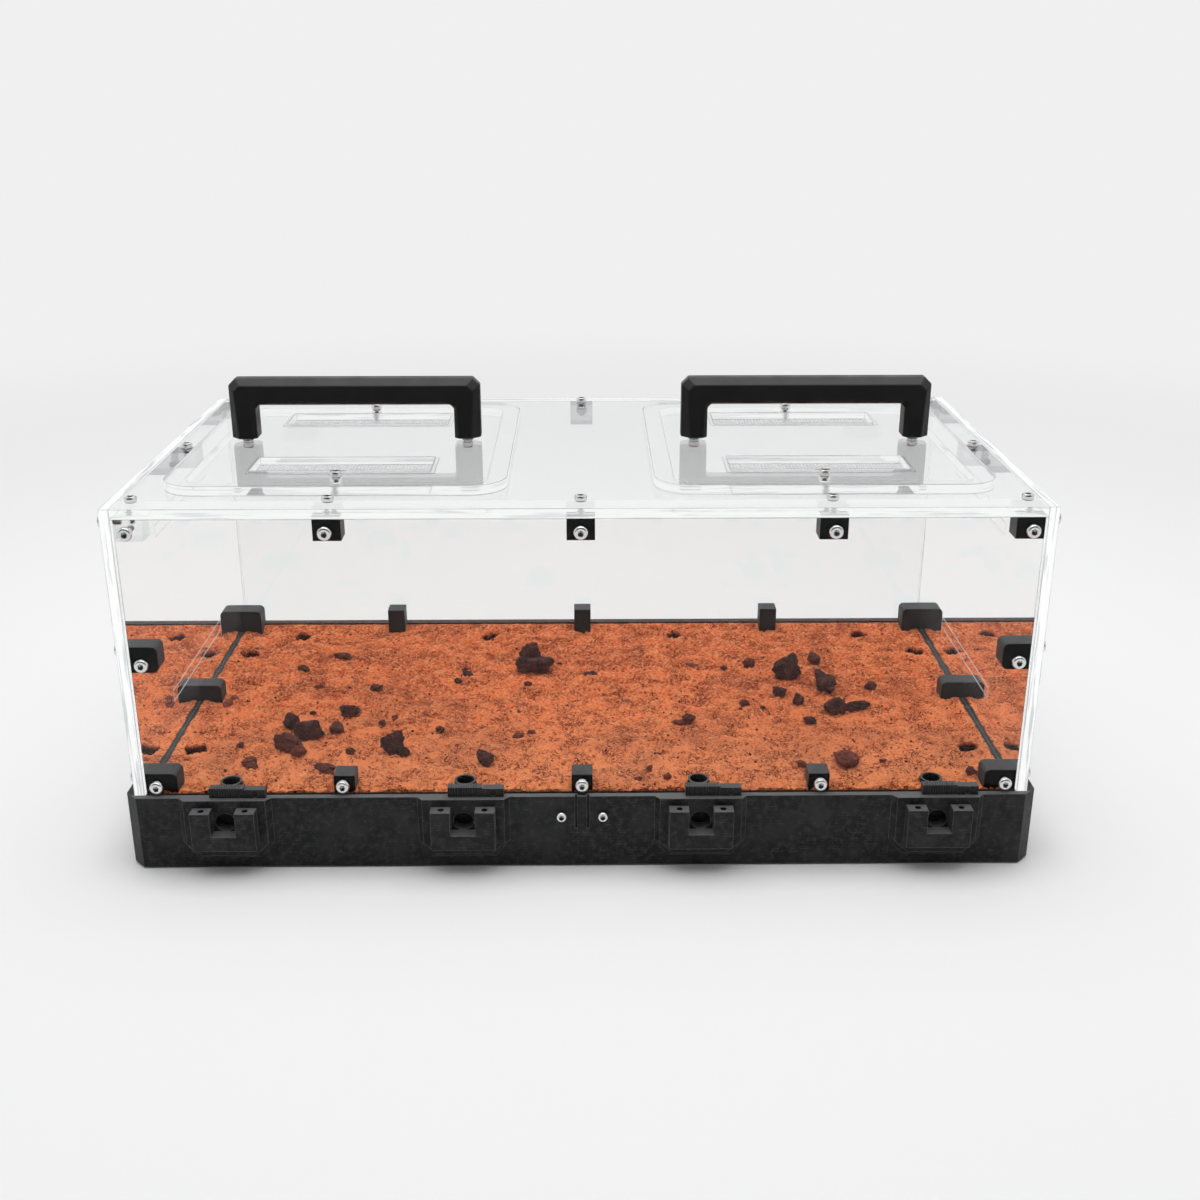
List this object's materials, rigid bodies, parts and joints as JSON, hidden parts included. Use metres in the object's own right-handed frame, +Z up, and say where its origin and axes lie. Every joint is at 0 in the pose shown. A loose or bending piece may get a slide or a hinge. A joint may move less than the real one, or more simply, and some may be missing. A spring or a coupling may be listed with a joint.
{
  "type": "ant habitat",
  "caption": "Clear acrylic foraging box on a black tray of red sand, with gated tube ports in front and two lift-off vented lids with bail handles.",
  "frame": {"origin": "middle of the tray's underside, without the port pads and blocks", "axes": "+X to the right along the front, +Y from the ported front to the back, +Z up"},
  "size_m": [0.458, 0.2545, 0.228],
  "materials": {
    "black_print": "matte black printed plastic",
    "gate_print": "matte black printed plastic, ribbed",
    "handle_print": "satin black moulded plastic",
    "clear_acrylic": "clear cast acrylic with polished edges",
    "clear_block": "clear acrylic block",
    "red_sand": "red sand, set firm",
    "lava_rock": "dark porous lava stone",
    "steel": "plain stainless steel",
    "steel_mesh": "fine woven stainless mesh",
    "magnet": "nickel-plated disc"
  },
  "bodies": {
    "enclosure": {"base_tray": "black_print", "entrance_tube_1": "black_print", "entrance_tube_2": "black_print", "entrance_tube_3": "black_print", "entrance_tube_4": "black_print", "front_post_left": "black_print", "front_post_centre": "black_print", "front_post_right": "black_print", "back_posts": "black_print", "corner_post_front_left": "black_print", "corner_post_back_left": "black_print", "side_post_left": "black_print", "corner_post_front_right": "black_print", "corner_post_back_right": "black_print", "side_post_right": "black_print", "roof_clip_front_left": "black_print", "roof_clip_front_centre": "black_print", "roof_clip_front_right": "black_print", "mid_clip_left": "black_print", "mid_clip_right": "black_print", "roof_corner_front_right": "black_print", "gate_stop_1": "black_print", "gate_stop_2": "black_print", "gate_stop_3": "black_print", "gate_stop_4": "black_print", "roof_clip_back": "clear_block", "roof_corner_front_left": "clear_block", "roof_corner_back_left": "clear_block", "roof_corner_back_right": "clear_block", "roof_clip_side_left": "clear_block", "roof_clip_side_right": "clear_block", "sand_bed": "red_sand", "lava_stones": "lava_rock", "front_panel": "clear_acrylic", "back_panel": "clear_acrylic", "left_panel": "clear_acrylic", "right_panel": "clear_acrylic", "roof_panel": "clear_acrylic", "front_panel_screws": "steel", "back_panel_screws": "steel", "side_panel_screws": "steel", "roof_panel_screws": "steel", "tray_screws": "steel", "stop_magnets": "magnet"},
    "gate_1": {"gate_1": "gate_print"},
    "gate_2": {"gate_2": "gate_print"},
    "gate_3": {"gate_3": "gate_print"},
    "gate_4": {"gate_4": "gate_print"},
    "lid_left": {"lid_left_plate": "clear_acrylic", "lid_left_vents": "steel_mesh", "lid_left_handle": "handle_print", "lid_left_spacers": "steel", "lid_left_screws": "steel"},
    "lid_right": {"lid_right_plate": "clear_acrylic", "lid_right_vents": "steel_mesh", "lid_right_handle": "handle_print", "lid_right_spacers": "steel", "lid_right_screws": "steel"}
  },
  "joints": [
    {"name": "gate_1_slide", "type": "slide", "parent": "enclosure", "child": "gate_1", "axis": [-1, 0, 0], "range_m": [0, 0.015]},
    {"name": "gate_2_slide", "type": "slide", "parent": "enclosure", "child": "gate_2", "axis": [-1, 0, 0], "range_m": [0, 0.015]},
    {"name": "gate_3_slide", "type": "slide", "parent": "enclosure", "child": "gate_3", "axis": [-1, 0, 0], "range_m": [0, 0.015]},
    {"name": "gate_4_slide", "type": "slide", "parent": "enclosure", "child": "gate_4", "axis": [-1, 0, 0], "range_m": [0, 0.015]},
    {"name": "lid_left_lift", "type": "slide", "parent": "enclosure", "child": "lid_left", "axis": [0, 0, 1], "range_m": [0, 0.06]},
    {"name": "lid_right_lift", "type": "slide", "parent": "enclosure", "child": "lid_right", "axis": [0, 0, 1], "range_m": [0, 0.06]}
  ]
}
